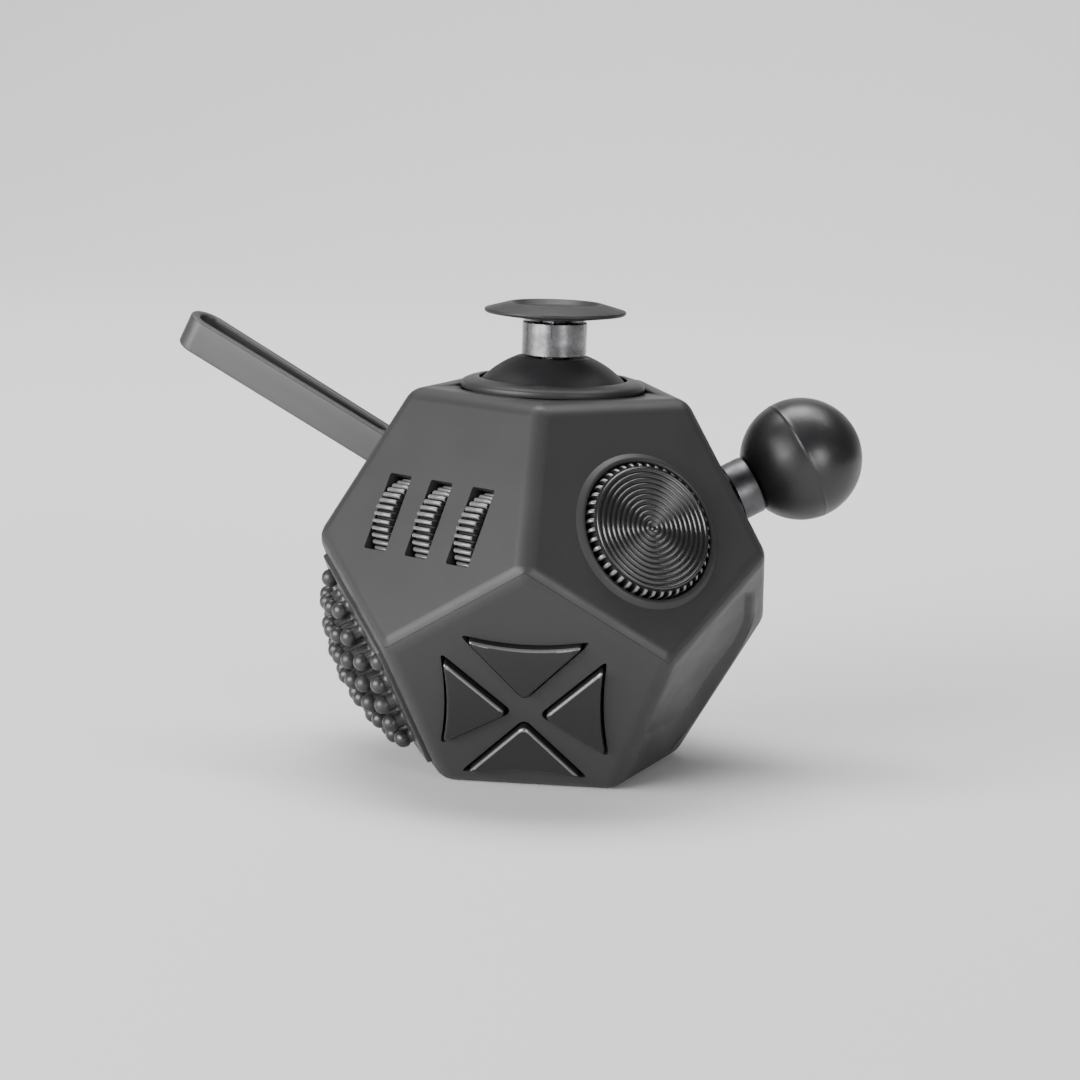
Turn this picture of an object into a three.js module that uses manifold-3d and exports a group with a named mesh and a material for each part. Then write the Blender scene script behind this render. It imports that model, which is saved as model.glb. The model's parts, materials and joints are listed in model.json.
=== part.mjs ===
// Twelve-sided desk fidget toy: a hollow dodecahedron in two half shells, with a different thing to
// fiddle with on each face. Millimetres, +Z up, origin at the centre of the face that it rests on.
import * as THREE from "three";
import { ConvexGeometry } from "three/addons/geometries/ConvexGeometry.js";
import { mergeVertices } from "three/addons/utils/BufferGeometryUtils.js";
import Module from "manifold-3d";

const wasm = await Module();
wasm.setup();

// ---------------------------------------------------------------- driving dimensions
const EDGE = 22.5; // edge of the sharp dodecahedron, 50.1 mm across two faces
const WALL = 2.2;
const EDGE_RADIUS = 2.6; // rounding along the outside edges
const SEAM = 0.36; // drop of the lower half's rim below the upper one's
const GAP = 0.3; // between pieces that touch or run on each other
const BEHIND = -WALL - GAP; // front of a plate fixed behind a face
const PLATE = 0.9; // thickness of those plates

const STICK_PIVOT = -7.9;
const STICK_DOME = 13; // radius of the dome under the joystick, about the pivot
const KNOB_PIVOT = -3.2;
const KNOB_DOME = 5.2;
const BALL_RADIUS = 8.3;
const BALL_CENTRE = 13;

const WHEEL_RADIUS = 6;
const WHEEL_WIDTH = 3.2;
const WHEEL_PITCH = 7.2;
const WHEEL_TEETH = 38;
const WHEEL_AXIS = -5;
const SLOT_WIDTH = 3.8;
const DROP = -1.5; // wheels, dial and ball sit this far below the middle of their face

const DIAL_CENTRE = [0.7, -1.7];
const DIAL_RADIUS = 8.8; // over the teeth
const DIAL_DISC = 8.1; // the grooved disc inside them
const DIAL_HOLE = 9.1;
const DIAL_LIP = 10.4; // raised lip round the hole
const DIAL_LIP_HEIGHT = 0.45;
const DIAL_RISE = 1.6;
const DIAL_GROOVES = 11;
const GROOVE_PITCH = 0.71;
const DIAL_TEETH = 44;

const ARM_X = 0.5;
const ARM_Y = 2.9;
const ARM_THICKNESS = 4.6;
const ARM_PIVOT = -3.4;
const ARM_TIP = 33.3; // centre of the rounded tip
const ARM_LEAN = 4; // degrees from square to the face, at rest

const BUTTON_RISE = 0.9;
const BUTTON_CLEARANCE = 0.45;
const BUTTON_ROUND = 1.1;

const DISH_INRADIUS = 12.6;
const DISH_DEPTH = 1.9;
const DISH_STEP = 0.6; // wall round the dish's edge

const NUB_RADIUS = 1.2;
const NUB_PITCH = 3.7;
const NUB_HEIGHT = 5.3;

const GOLDEN = (1 + Math.sqrt(5)) / 2;
const INRADIUS = (EDGE / 2) * Math.sqrt((25 + 11 * Math.sqrt(5)) / 10); // body centre to a face
const FACE_CIRCUMRADIUS = EDGE / 2 / Math.sin(Math.PI / 5);
const WAIST_RADIUS = FACE_CIRCUMRADIUS * GOLDEN;
const WAIST_HEIGHT = INRADIUS / GOLDEN ** 3;
const CENTRE = new THREE.Vector3(0, 0, INRADIUS);

// ---------------------------------------------------------------- materials
function finish(colour, roughness, metalness = 0) {
  return new THREE.MeshStandardMaterial({ color: colour, roughness, metalness });
}
const softTouch = finish(0x3c3c3e, 0.55);
const glossBlack = finish(0x161617, 0.25);
const rubber = finish(0x1d1d1f, 0.6);
const silicone = finish(0x454547, 0.45);
const innerPlastic = finish(0x8a8a88, 0.5);
const steel = finish(0xb4b6b8, 0.3, 1);

// ---------------------------------------------------------------- solid helpers
function toSolid(shape) {
  if (shape instanceof wasm.Manifold) return shape;
  const bare = shape.clone();
  bare.deleteAttribute("normal");
  bare.deleteAttribute("uv");
  const merged = mergeVertices(bare, 1e-4);
  return new wasm.Manifold(
    new wasm.Mesh({
      numProp: 3,
      vertProperties: new Float32Array(merged.attributes.position.array),
      triVerts: new Uint32Array(merged.index.array),
    }),
  );
}

function toGeometry(solid) {
  if (!(solid instanceof wasm.Manifold)) return solid;
  const made = solid.getMesh();
  const vertices = new Float32Array(made.numVert * 3);
  for (let i = 0; i < made.numVert; i++) {
    const from = i * made.numProp;
    vertices.set(made.vertProperties.subarray(from, from + 3), i * 3);
  }
  const geometry = new THREE.BufferGeometry();
  geometry.setAttribute("position", new THREE.BufferAttribute(vertices, 3));
  geometry.setIndex(new THREE.BufferAttribute(new Uint32Array(made.triVerts), 1));
  return geometry;
}

const join = (first, ...others) => others.reduce((sum, o) => sum.add(toSolid(o)), toSolid(first));
const cut = (body, ...tools) => tools.reduce((rest, t) => rest.subtract(toSolid(t)), toSolid(body));
const common = (first, second) => toSolid(first).intersect(toSolid(second));

function box([x0, x1], [y0, y1], [z0, z1]) {
  const block = new THREE.BoxGeometry(x1 - x0, y1 - y0, z1 - z0);
  return block.translate((x0 + x1) / 2, (y0 + y1) / 2, (z0 + z1) / 2);
}

// A solid turned about Z. The profile is [radius, height] pairs, anticlockwise, closed if hollow.
function turned(profile, sides = 18) {
  const points = profile.map(([r, z]) => new THREE.Vector2(r, z));
  return new THREE.LatheGeometry(points, sides).rotateX(Math.PI / 2);
}

function disc(radius, [z0, z1], sides = 18) {
  const cylinder = new THREE.CylinderGeometry(radius, radius, z1 - z0, sides);
  return cylinder.rotateX(Math.PI / 2).translate(0, 0, (z0 + z1) / 2);
}

function ring(inner, outer, [z0, z1], sides = 18) {
  return turned([[inner, z0], [outer, z0], [outer, z1], [inner, z1], [inner, z0]], sides);
}

// Geometry made along Z, laid along X or Y instead.
const alongX = (geometry) => geometry.rotateY(Math.PI / 2);
const alongY = (geometry) => geometry.rotateX(-Math.PI / 2);

function ball(radius, height, across = 18, up = 10) {
  return new THREE.SphereGeometry(radius, across, up).rotateX(Math.PI / 2).translate(0, 0, height);
}

function prism(shape, [z0, z1], curveSegments = 3) {
  const options = { depth: z1 - z0, bevelEnabled: false, curveSegments };
  return new THREE.ExtrudeGeometry(shape, options).translate(0, 0, z0);
}

const polygon = (points) => new THREE.Shape(points.map(([x, y]) => new THREE.Vector2(x, y)));

// Regular pentagon of the given inradius with one corner towards +Y, as on the lower faces.
function pentagon(inradius) {
  const radius = inradius / Math.cos(Math.PI / 5);
  const corner = (k) => {
    const angle = Math.PI / 2 + (k * 2 * Math.PI) / 5;
    return [radius * Math.cos(angle), radius * Math.sin(angle)];
  };
  return polygon([0, 1, 2, 3, 4].map(corner));
}

// Wheel outline with pointed teeth, centred on the origin.
function toothed(teeth, root, tip) {
  const points = [];
  for (let k = 0; k < 2 * teeth; k++) {
    const angle = (k * Math.PI) / teeth;
    const radius = k % 2 === 0 ? root : tip;
    points.push([radius * Math.cos(angle), radius * Math.sin(angle)]);
  }
  return polygon(points);
}

// Compression spring about Z whose wire runs from z0 to z1.
function coilSpring(radius, wire, turns, [z0, z1]) {
  const path = new THREE.Curve();
  path.getPoint = (t, target = new THREE.Vector3()) => {
    const angle = t * turns * 2 * Math.PI;
    return target.set(radius * Math.cos(angle), radius * Math.sin(angle), z0 + t * (z1 - z0));
  };
  const section = new THREE.Shape().absarc(0, 0, wire, 0, 2 * Math.PI);
  const options = { steps: turns * 9, extrudePath: path, curveSegments: 2, bevelEnabled: false };
  return new THREE.ExtrudeGeometry(section, options);
}

// ---------------------------------------------------------------- the twelve faces
// Each face has its own frame: +Z out of the face, +Y up the slope, +X to the right seen from
// outside, with the origin in the middle of the face.
function faceMatrix(azimuth, rise) {
  const a = THREE.MathUtils.degToRad(azimuth);
  const across = Math.sqrt(1 - rise * rise);
  const z = new THREE.Vector3(Math.cos(a) * across, Math.sin(a) * across, rise);
  const y = new THREE.Vector3(-Math.cos(a) * rise, -Math.sin(a) * rise, across);
  return frameMatrix(z, y);
}

function frameMatrix(z, y) {
  const x = new THREE.Vector3().crossVectors(y, z);
  const origin = CENTRE.clone().addScaledVector(z, INRADIUS);
  return new THREE.Matrix4().makeBasis(x, y, z).setPosition(origin);
}

const RISE = 1 / Math.sqrt(5);
const FACES = {
  stick: frameMatrix(new THREE.Vector3(0, 0, 1), new THREE.Vector3(0, 1, 0)),
  wheels: faceMatrix(234, RISE),
  dial: faceMatrix(-54, RISE),
  ball: faceMatrix(18, RISE),
  rocker: faceMatrix(90, RISE),
  arm: faceMatrix(162, RISE),
  buttons: faceMatrix(-90, -RISE),
  dish: faceMatrix(-18, -RISE),
  slider: faceMatrix(54, -RISE),
  roller: faceMatrix(126, -RISE),
  nubs: faceMatrix(198, -RISE),
  base: frameMatrix(new THREE.Vector3(0, 0, -1), new THREE.Vector3(0, -1, 0)),
};
const UPPER_FACES = ["stick", "wheels", "dial", "ball", "rocker", "arm"];

const onFace = (face, shape) => toGeometry(toSolid(shape)).applyMatrix4(FACES[face]);

const object = new THREE.Group();
object.name = "fidget_dodecahedron";

function addPart(name, face, shape, material) {
  const mesh = new THREE.Mesh(onFace(face, shape), material.clone());
  mesh.name = name;
  object.add(mesh);
}

// What each face asks of the shell: thickenings added inside the wall, then openings cut.
const shellWork = Object.fromEntries(Object.keys(FACES).map((f) => [f, { add: [], cut: [] }]));

// A short screw through a plate into the back of a face's wall.
const SCREW_HOLE = 1;
function wallScrew(name, face, x, y) {
  const plateBack = BEHIND - PLATE;
  const headTop = plateBack - GAP;
  const head = [[0, headTop - 1], [1.7, headTop - 1], [1.7, headTop]];
  const stem = [[0.7, headTop], [0.7, -1], [0, -1]];
  addPart(name, face, turned([...head, ...stem], 10).translate(x, y, 0), steel);
  shellWork[face].cut.push(disc(SCREW_HOLE, [-WALL - 1, -0.7], 10).translate(x, y, 0));
}
const screwHole = (x, y) => disc(SCREW_HOLE, [BEHIND - PLATE - 1, BEHIND + 1], 10).translate(x, y, 0);

// ---------------------------------------------------------------- joystick and ball: tilting sticks
// Both hang in a gimbal: a ring that rocks on pins along X in a fixed socket, and a stem that rocks
// on pins along Y in the ring. A dome on the stem, centred on the pivot, closes the opening.
const STICK = {
  pivot: STICK_PIVOT,
  hub: 3,
  rod: 2,
  ringIn: 5.4,
  ringOut: 7,
  bore: 8.1,
  depth: 5.6,
  top: 9.3,
};
const KNOB = {
  pivot: KNOB_PIVOT,
  hub: 2.2,
  rod: 1.7,
  ringIn: 4.3,
  ringOut: 5.5,
  bore: 6.5,
  depth: 5.6,
  top: 10.3,
};
const GIMBAL_PIN = 0.6;
const RING_HALF = 1.3;
const CUP_WALL = 1.4;

// Cup round the gimbal with its rim at the given height, and whatever holds it joined on.
function gimbalSocket(s, rim, ...holders) {
  const floor = s.pivot - s.depth;
  const outer = s.bore + CUP_WALL;
  const wall = [[outer, floor], [outer, rim], [s.bore, rim], [s.bore, floor + 1]];
  const cup = turned([[0, floor], ...wall, [0, floor + 1]]);
  const room = disc(s.bore, [floor + 1, 1]);
  const pinHole = alongX(disc(GIMBAL_PIN + GAP, [-outer - 1, outer + 1], 12)).translate(0, 0, s.pivot);
  return cut(join(cup, ...holders), room, pinHole);
}

function gimbalRing(s) {
  const reach = s.bore + CUP_WALL - 0.4;
  const pin = alongX(disc(GIMBAL_PIN, [-reach, reach], 10));
  const hollow = disc(s.ringIn, [-RING_HALF - 1, RING_HALF + 1]);
  const stemHole = alongY(disc(GIMBAL_PIN + GAP, [-s.ringOut - 1, s.ringOut + 1], 10));
  const body = disc(s.ringOut, [-RING_HALF, RING_HALF]);
  return cut(join(body, pin), hollow, stemHole).translate(0, 0, s.pivot);
}

function gimbalStem(s) {
  const hub = turned([[0, -1.4], [s.hub, -1.4], [s.hub, 1.4], [s.rod, 2], [0, 2]], 16);
  const rod = disc(s.rod, [1, s.top - s.pivot], 16);
  const pin = alongY(disc(GIMBAL_PIN, [-s.ringOut + 0.3, s.ringOut - 0.3], 10));
  return join(hub, rod, pin).translate(0, 0, s.pivot);
}

// Cap of a hollow sphere about the pivot, down to the given angle, with a hole for the rod.
function stemDome(s, radius, thickness, angle, sides = 28) {
  const arc = (r, from, to) => [0, 1, 2, 3, 4, 5].map((k) => {
    const polar = from + ((to - from) * k) / 5;
    return [r * Math.sin(polar), s.pivot + r * Math.cos(polar)];
  });
  const last = THREE.MathUtils.degToRad(angle);
  const hole = s.rod + GAP;
  const inner = arc(radius - thickness, Math.asin(hole / (radius - thickness)), last);
  const outer = arc(radius, last, Math.asin(hole / radius));
  return turned([...inner, ...outer, inner[0]], sides);
}

const stemSpring = (s) => coilSpring(s.hub - 0.6, 0.3, 3, [s.pivot - s.depth + 1.7, s.pivot - 2.1]);

function joystick() {
  const s = STICK;
  const opening = STICK_DOME + GAP + 0.1;
  shellWork.stick.cut.push(ball(opening, s.pivot, 32, 32));
  const plate = [-7.4, -6.4];
  const web = prism(pentagon(12.3), plate).rotateZ(Math.PI);
  const posts = [0, 1, 2, 3, 4].map((k) => {
    const angle = -Math.PI / 2 + (k * 2 * Math.PI) / 5;
    return disc(0.9, [plate[0], BEHIND], 8).translate(14.3 * Math.cos(angle), 14.3 * Math.sin(angle), 0);
  });
  addPart("joystick_socket", "stick", gimbalSocket(s, plate[1], web, ...posts), innerPlastic);
  addPart("joystick_gimbal_ring", "stick", gimbalRing(s), innerPlastic);
  addPart("joystick_stem", "stick", gimbalStem(s), steel);
  addPart("joystick_spring", "stick", stemSpring(s), steel);
  const bezel = [[10.6, 0.3], [12.1, 0.3], [12.1, 0.7], [11.4, 1.1], [10.3, 1.4], [9.75, 1.3], [10.6, 0.3]];
  addPart("joystick_bezel", "stick", turned(bezel, 28), softTouch);
  const dome = cut(stemDome(s, STICK_DOME, 1.3, 62), disc(4.85, [4.1, 6], 24));
  addPart("joystick_dome", "stick", dome, glossBlack);
  addPart("joystick_collar", "stick", ring(2.3, 4.25, [4.4, 8.8], 20), steel);
  const under = [[0, 9.6], [2.3, 9.6], [2.3, 9.1], [4, 9.1], [8.9, 9.8]];
  const over = [[9.3, 10], [9.3, 10.3], [9.1, 10.4], [6.2, 11.2], [5.8, 11.1], [5.2, 10.6], [0, 10.3]];
  addPart("joystick_cap", "stick", turned([...under, ...over], 28), rubber);
}

function ballStick() {
  const s = KNOB;
  const place = (shape) => toSolid(shape).translate(0, DROP, 0);
  const outer = s.bore + CUP_WALL;
  shellWork.ball.cut.push(place(disc(outer + 0.6, [-WALL - 1, 1], 24)));
  const flange = ring(outer - 0.5, 11, [BEHIND - PLATE, BEHIND]);
  addPart("ball_socket", "ball", place(gimbalSocket(s, -0.6, flange)), innerPlastic);
  addPart("ball_gimbal_ring", "ball", place(gimbalRing(s)), innerPlastic);
  addPart("ball_stem", "ball", place(gimbalStem(s)), steel);
  addPart("ball_spring", "ball", place(stemSpring(s)), steel);
  addPart("ball_dome", "ball", place(stemDome(s, KNOB_DOME, 0.8, 52, 20)), glossBlack);
  const cover = [[8, -0.3], [8, 0.3], [9.4, 0.3], [9.2, 0.7], [8.6, 0.9], [5.3, 0.7], [5, 0.4]];
  addPart("ball_cover", "ball", place(turned([[5, -0.3], ...cover, [5, -0.3]], 24)), softTouch);
  addPart("ball_collar", "ball", place(ring(2, 4, [2.35, 5.4], 20)), steel);
  const sphere = ball(BALL_RADIUS, BALL_CENTRE, 20, 12);
  const knob = cut(sphere, disc(4.6, [4, 5.7]), disc(s.rod + GAP, [4, s.top + GAP], 12));
  addPart("ball_knob", "ball", place(knob), rubber);
}

// ---------------------------------------------------------------- three thumb wheels
function thumbWheels() {
  const reach = WHEEL_PITCH + WHEEL_WIDTH / 2;
  const cheek = [reach + 0.7, reach + 1.8];
  const axleHole = alongX(disc(1 + GAP, [-20, 20], 12)).translate(0, DROP, WHEEL_AXIS);
  const bar = box([-cheek[1], cheek[1]], [5.3, 8.1], [BEHIND - PLATE, BEHIND]);
  const rightCheek = box(cheek, [-6, 8.1], [WHEEL_AXIS - 2.2, BEHIND]);
  const leftCheek = box([-cheek[1], -cheek[0]], [-6, 8.1], [WHEEL_AXIS - 2.2, BEHIND]);
  const screws = [[-5, 6.7], [5, 6.7]];
  screws.forEach(([x, y], i) => wallScrew(`wheel_screw_${i + 1}`, "wheels", x, y));
  const holes = screws.map(([x, y]) => screwHole(x, y));
  addPart("wheel_cradle", "wheels", cut(join(bar, rightCheek, leftCheek), axleHole, ...holes), innerPlastic);
  const axle = alongX(disc(1, [-cheek[1] + 0.2, cheek[1] - 0.2], 12)).translate(0, DROP, WHEEL_AXIS);
  addPart("wheel_axle", "wheels", axle, steel);
  for (const [i, x] of [-WHEEL_PITCH, 0, WHEEL_PITCH].entries()) {
    const half = WHEEL_WIDTH / 2;
    const blank = prism(toothed(WHEEL_TEETH, WHEEL_RADIUS - 0.35, WHEEL_RADIUS), [-half, half]);
    const wheel = cut(blank, disc(1 + GAP, [-half - 1, half + 1], 12));
    const turnedWheel = toGeometry(wheel).rotateY(Math.PI / 2).translate(x, DROP, WHEEL_AXIS);
    addPart(`thumb_wheel_${i + 1}`, "wheels", turnedWheel, rubber);
    const sides = [-SLOT_WIDTH / 2, SLOT_WIDTH / 2];
    const slot = box([x + sides[0], x + sides[1]], [DROP - 5.2, DROP + 5.2], [-WALL - 1, 1]);
    const room = alongX(disc(WHEEL_RADIUS + 0.4, sides, 24)).translate(x, DROP, WHEEL_AXIS);
    shellWork.wheels.cut.push(join(slot, room));
  }
}

// ---------------------------------------------------------------- grooved dial
function groovedDial() {
  const place = (shape) => toSolid(shape).translate(DIAL_CENTRE[0], DIAL_CENTRE[1], 0);
  const crest = [[DIAL_HOLE + 0.4, DIAL_LIP_HEIGHT], [DIAL_HOLE - 0.5, DIAL_LIP_HEIGHT]];
  const lip = [[DIAL_HOLE - 0.5, -1], [DIAL_LIP, -1], [DIAL_LIP, -0.05], ...crest, [DIAL_HOLE - 0.5, -1]];
  shellWork.dial.add.push(place(turned(lip, 32)));
  shellWork.dial.cut.push(place(disc(DIAL_HOLE, [-WALL - 1, 1], 32)));
  const grooves = [];
  for (let k = DIAL_GROOVES; k > 0; k--) {
    grooves.push([k * GROOVE_PITCH, DIAL_RISE], [(k - 0.5) * GROOVE_PITCH, DIAL_RISE - 0.25]);
  }
  const side = [[DIAL_DISC, 0], [DIAL_DISC, 1.35], [DIAL_DISC - 0.15, DIAL_RISE]];
  const top = turned([[0, 0], ...side, ...grooves, [0, DIAL_RISE]], 28);
  const rim = prism(toothed(DIAL_TEETH, DIAL_RADIUS - 0.4, DIAL_RADIUS), [-1.9, 0.7]);
  const shaft = disc(2.2, [-6.2, -1.8], 16);
  addPart("dial", "dial", place(join(top, rim, shaft)), rubber);
  const screws = [[9.2, 4.6], [-7.6, -7.7]];
  screws.forEach(([x, y], i) => wallScrew(`dial_screw_${i + 1}`, "dial", x, y));
  const mount = place(ring(2.5, 11.6, [BEHIND - PLATE, BEHIND]));
  addPart("dial_mount", "dial", cut(mount, ...screws.map(([x, y]) => screwHole(x, y))), innerPlastic);
  addPart("dial_retainer", "dial", place(ring(2.5, 4.6, [-4.9, -3.7], 16)), steel);
}

// ---------------------------------------------------------------- swinging arm
function swingArm() {
  const halfSlot = [ARM_THICKNESS / 2 + 0.35, 6.1];
  const slotX = [ARM_X - halfSlot[1], ARM_X + halfSlot[1]];
  const slotY = [ARM_Y - halfSlot[0], ARM_Y + halfSlot[0]];
  shellWork.arm.cut.push(box(slotX, slotY, [-WALL - 1, 1]));
  // The arm, or the slot through it: a round root that widens to a round tip.
  const outline = (rootHeight, rootRadius, tipRadius) => {
    const shape = new THREE.Shape();
    shape.absarc(0, rootHeight, rootRadius, Math.PI, 2 * Math.PI, false);
    shape.absarc(0, ARM_TIP, tipRadius, 0, Math.PI, false);
    return shape;
  };
  const half = ARM_THICKNESS / 2;
  const solidArm = prism(outline(ARM_PIVOT, 2.3, 3), [-half, half], 6);
  const window = prism(outline(ARM_PIVOT + 8.4, 1, 1.7), [-half - 1, half + 1], 6);
  const pinHole = disc(0.9 + GAP, [-half - 1, half + 1], 12).translate(0, ARM_PIVOT, 0);
  const arm = toGeometry(cut(solidArm, window, pinHole).translate(0, -ARM_PIVOT, 0)).rotateX(Math.PI / 2);
  const leaning = arm.rotateY(THREE.MathUtils.degToRad(ARM_LEAN)).translate(ARM_X, ARM_Y, ARM_PIVOT);
  addPart("arm_lever", "arm", leaning, softTouch);
  const pin = alongY(disc(0.9, [-half - 1.7, half + 1.7], 12)).translate(ARM_X, ARM_Y, ARM_PIVOT);
  addPart("arm_pin", "arm", pin, steel);
  const plate = box([ARM_X - 8.4, ARM_X + 8.4], [ARM_Y - 6, ARM_Y + 6], [BEHIND - PLATE, BEHIND]);
  const cheeks = box([ARM_X - 2.6, ARM_X + 2.6], [ARM_Y - 4.4, ARM_Y + 4.4], [ARM_PIVOT - 2.2, BEHIND]);
  const room = box(slotX, slotY, [-9, 1]);
  const bore = alongY(disc(0.9 + GAP, [-6, 6], 12)).translate(ARM_X, ARM_Y, ARM_PIVOT);
  addPart("arm_bracket", "arm", cut(join(plate, cheeks), room, bore), innerPlastic);
}

// ---------------------------------------------------------------- rocker switch
function rockerSwitch() {
  const pivot = -1.2;
  shellWork.rocker.cut.push(box([-8.3, 8.3], [-5.6, 5.6], [-WALL - 1, 1]));
  const lip = box([-9, 9], [-6.2, 6.2], [0.3, 0.9]);
  const sleeve = box([-8, 8], [-5.3, 5.3], [-3.4, 0.5]);
  const window = box([-6.5, 6.5], [-4, 4], [-9, 9]);
  const bore = alongX(disc(1.1, [-20, 20], 12)).translate(0, 0, pivot);
  const slimBore = alongX(disc(1.1, [-8.5, 8.5], 12)).translate(0, 0, pivot);
  addPart("rocker_frame", "rocker", cut(join(lip, sleeve), window, slimBore), glossBlack);
  const side = polygon([[-3.1, 1.9], [-3.4, -1], [-1.6, -3.2], [1.6, -3.2], [3.4, -1], [3.1, 1.9], [0, 1]]);
  const rocker = prism(side, [-6.2, 6.2]).rotateX(Math.PI / 2).rotateZ(Math.PI / 2);
  addPart("rocker", "rocker", cut(rocker, bore), rubber);
  addPart("rocker_pin", "rocker", alongX(disc(0.8, [-7.7, 7.7], 12)).translate(0, 0, pivot), steel);
}

// ---------------------------------------------------------------- four push buttons
// Triangles round an X of shell, each with its outer side hollowed inwards.
const BUTTONS = {
  top: { ends: [[7.4, 8.5], [-7.5, 8.6]], apex: [-0.3, -0.5], sag: 0.85 },
  left: { ends: [[-10.5, 5], [-10.9, -8.4]], apex: [-2.5, -3], sag: 0.45 },
  bottom: { ends: [[-8, -13.3], [6.9, -13.2]], apex: [-0.4, -4.8], sag: 0.85 },
  right: { ends: [[10, -9], [9.8, 5]], apex: [2.1, -3.3], sag: 0.45 },
};

function incentre([a, b], apex) {
  const gap = (p, q) => Math.hypot(p[0] - q[0], p[1] - q[1]);
  const sides = [gap(b, apex), gap(a, apex), gap(a, b)];
  const total = sides[0] + sides[1] + sides[2];
  const centre = [0, 1].map((i) => (sides[0] * a[i] + sides[1] * b[i] + sides[2] * apex[i]) / total);
  const area = Math.abs((b[0] - a[0]) * (apex[1] - a[1]) - (apex[0] - a[0]) * (b[1] - a[1])) / 2;
  return { centre, radius: (2 * area) / total };
}

// The button's outline grown by the given amount all round, with rounded corners.
function buttonShape({ ends, apex, sag }, grow) {
  const { centre, radius } = incentre(ends, apex);
  const scale = (radius + grow) / radius;
  const corners = [...ends, apex].map((p) =>
    new THREE.Vector2(centre[0] + (p[0] - centre[0]) * scale, centre[1] + (p[1] - centre[1]) * scale));
  const [a, b, c] = corners;
  const towards = (p, q, length) => p.clone().addScaledVector(q.clone().sub(p).normalize(), length);
  const inward = c.clone().sub(a.clone().lerp(b, 0.5)).normalize();
  const hollow = a.clone().lerp(b, 0.5).addScaledVector(inward, 2 * sag * scale);
  const round = BUTTON_ROUND * scale;
  const shape = new THREE.Shape();
  const curve = (control, to) => shape.quadraticCurveTo(control.x, control.y, to.x, to.y);
  const start = towards(a, hollow, round);
  shape.moveTo(start.x, start.y);
  curve(hollow, towards(b, hollow, round));
  curve(b, towards(b, c, round));
  const beforeApex = towards(c, b, round);
  shape.lineTo(beforeApex.x, beforeApex.y);
  curve(c, towards(c, a, round));
  const afterApex = towards(a, c, round);
  shape.lineTo(afterApex.x, afterApex.y);
  curve(a, start);
  return shape;
}

function pushButtons() {
  const flangeBack = BEHIND - 0.8;
  const guideFront = -6.2;
  const guideBack = guideFront - 1;
  const legs = [[0, 11.4], [-8.6, -10.6], [8.4, -10.6]];
  const legClearances = legs.map(([x, y]) => disc(1.2, [-5, 0], 10).translate(x, y, 0));
  const postHoles = [];
  for (const [side, button] of Object.entries(BUTTONS)) {
    const [x, y] = incentre(button.ends, button.apex).centre;
    shellWork.buttons.cut.push(prism(buttonShape(button, BUTTON_CLEARANCE), [-WALL - 1, 1]));
    const key = prism(buttonShape(button, 0), [flangeBack, BUTTON_RISE - 0.3]);
    const crown = prism(buttonShape(button, -0.35), [0, BUTTON_RISE]);
    const wide = prism(buttonShape(button, BUTTON_CLEARANCE + 0.6), [flangeBack, BEHIND]);
    const flange = cut(common(wide, prism(pentagon(13.2), [-5, 0])), ...legClearances);
    const post = disc(1.1, [-8.2, flangeBack + 0.1], 10).translate(x, y, 0);
    addPart(`button_${side}`, "buttons", join(key, crown, flange, post), glossBlack);
    const spring = coilSpring(1.8, 0.25, 3, [guideFront + 0.6, flangeBack - 0.6]).translate(x, y, 0);
    addPart(`button_spring_${side}`, "buttons", spring, steel);
    postHoles.push(disc(1.4, [guideBack - 1, guideFront + 1], 12).translate(x, y, 0));
  }
  const plate = prism(pentagon(10.7), [guideBack, guideFront]);
  const standing = legs.map(([x, y]) => disc(0.9, [guideBack, BEHIND], 10).translate(x, y, 0));
  addPart("button_guide", "buttons", cut(join(plate, ...standing), ...postHoles), innerPlastic);
}

// ---------------------------------------------------------------- shell-moulded thumb dish
// Five-sided with well-rounded corners: a low wall all round and a hollowed floor.
function roundedPentagon(inradius, round) {
  const circumradius = inradius / Math.cos(Math.PI / 5);
  const corners = [0, 1, 2, 3, 4].map((k) => {
    const angle = Math.PI / 2 + (k * 2 * Math.PI) / 5;
    return new THREE.Vector2(Math.cos(angle), Math.sin(angle)).multiplyScalar(circumradius);
  });
  const shape = new THREE.Shape();
  corners.forEach((corner, k) => {
    const before = corners[(k + 4) % 5].clone().sub(corner).normalize().multiplyScalar(round).add(corner);
    const after = corners[(k + 1) % 5].clone().sub(corner).normalize().multiplyScalar(round).add(corner);
    if (k === 0) shape.moveTo(before.x, before.y);
    else shape.lineTo(before.x, before.y);
    shape.quadraticCurveTo(corner.x, corner.y, after.x, after.y);
  });
  return shape;
}

function thumbDish() {
  const reach = DISH_INRADIUS + 1.5;
  const fall = DISH_DEPTH - DISH_STEP;
  const sphere = (reach ** 2 + fall ** 2) / (2 * fall);
  const floor = [0, 1, 2, 3, 4].map((k) => {
    const r = (reach * k) / 4;
    return [r, sphere - DISH_DEPTH - Math.sqrt(sphere ** 2 - r ** 2)];
  });
  const bowl = turned([...floor, [reach, 1], [0, 1]], 32);
  const hollow = common(bowl, prism(roundedPentagon(DISH_INRADIUS, 6), [-3, 1], 6));
  shellWork.dish.add.push(disc(11.5, [-3.9, -WALL + 0.2]).translate(0, -0.6, 0));
  shellWork.dish.cut.push(hollow.translate(0, -0.6, 0));
}

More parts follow.
